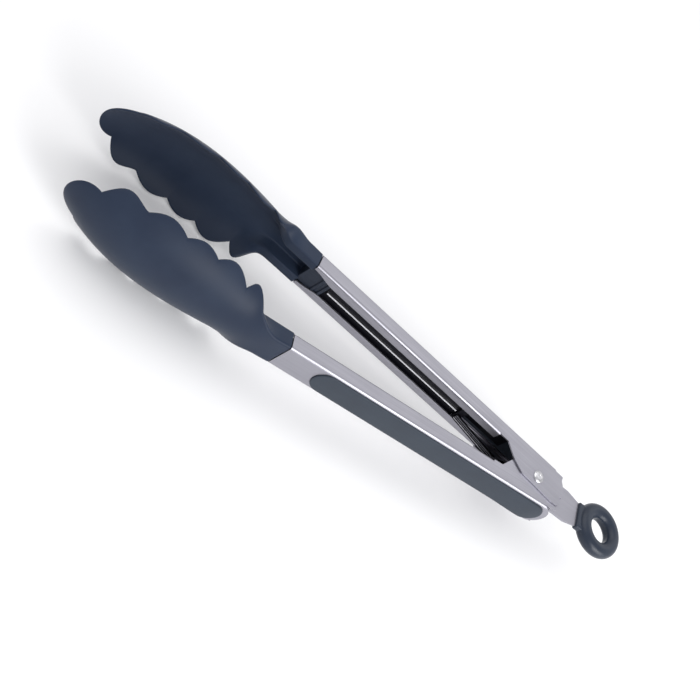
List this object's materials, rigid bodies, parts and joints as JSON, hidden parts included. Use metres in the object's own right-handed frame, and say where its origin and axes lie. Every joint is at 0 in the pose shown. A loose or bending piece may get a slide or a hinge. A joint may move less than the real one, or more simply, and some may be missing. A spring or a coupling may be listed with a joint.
{
  "type": "kitchen tongs",
  "caption": "Spring loaded kitchen tongs: two pressed steel channel arms with scalloped silicone spoon heads, soft grips, and a pull ring on a sliding lock plate.",
  "frame": {"origin": "under the middle of the tongs' box, on the surface that they lie on, jaws open and lock pushed in", "axes": "+X from the jaw tips to the hang ring, +Z along the pivot rivet, +Y from arm a to arm b"},
  "size_m": [0.3584, 0.0754, 0.0489],
  "materials": {
    "brushed_steel": "satin brushed",
    "rivet_steel": "polished",
    "dark_steel": "oiled",
    "rail_steel": "polished",
    "spring_steel": "rolled",
    "head_silicone": "smooth matt",
    "head_nylon": "moulded",
    "grip_silicone": "soft matt",
    "ring_silicone": "smooth satin",
    "black_plastic": "moulded"
  },
  "bodies": {
    "root": {"rivet": "rivet_steel", "pivot_bush": "dark_steel", "pivot_spacer": "dark_steel", "spring": "spring_steel"},
    "arm_a": {"arm_channel_a": "brushed_steel", "grip_pad_a": "grip_silicone", "grip_backing_a": "black_plastic", "backing_rail_a": "rail_steel", "head_core_a": "head_nylon", "head_skin_a": "head_silicone"},
    "arm_b": {"arm_channel_b": "brushed_steel", "grip_pad_b": "grip_silicone", "grip_backing_b": "black_plastic", "backing_rail_b": "rail_steel", "head_core_b": "head_nylon", "head_skin_b": "head_silicone"},
    "lock": {"lock_plate": "brushed_steel", "hang_ring": "ring_silicone"}
  },
  "joints": [
    {"name": "arm_a_hinge", "type": "hinge", "parent": "root", "child": "arm_a", "pos_m": [0.11017, 0, 0.02445], "axis": [0, 0, -1], "range_deg": [0, 4.35], "stiffness_Nm_per_rad": 2, "springref_deg": -6.88, "deforming": ["spring"]},
    {"name": "arm_b_hinge", "type": "hinge", "parent": "root", "child": "arm_b", "pos_m": [0.11017, 0, 0.02445], "axis": [0, 0, 1], "range_deg": [0, 4.35], "stiffness_Nm_per_rad": 2, "springref_deg": -6.88, "deforming": ["spring"]},
    {"name": "lock_slide", "type": "slide", "parent": "root", "child": "lock", "axis": [1, 0, 0], "range_m": [0, 0.01]}
  ],
  "couplings": [
    {"joint": "arm_b_hinge", "follows": "arm_a_hinge", "ratio": 1}
  ]
}
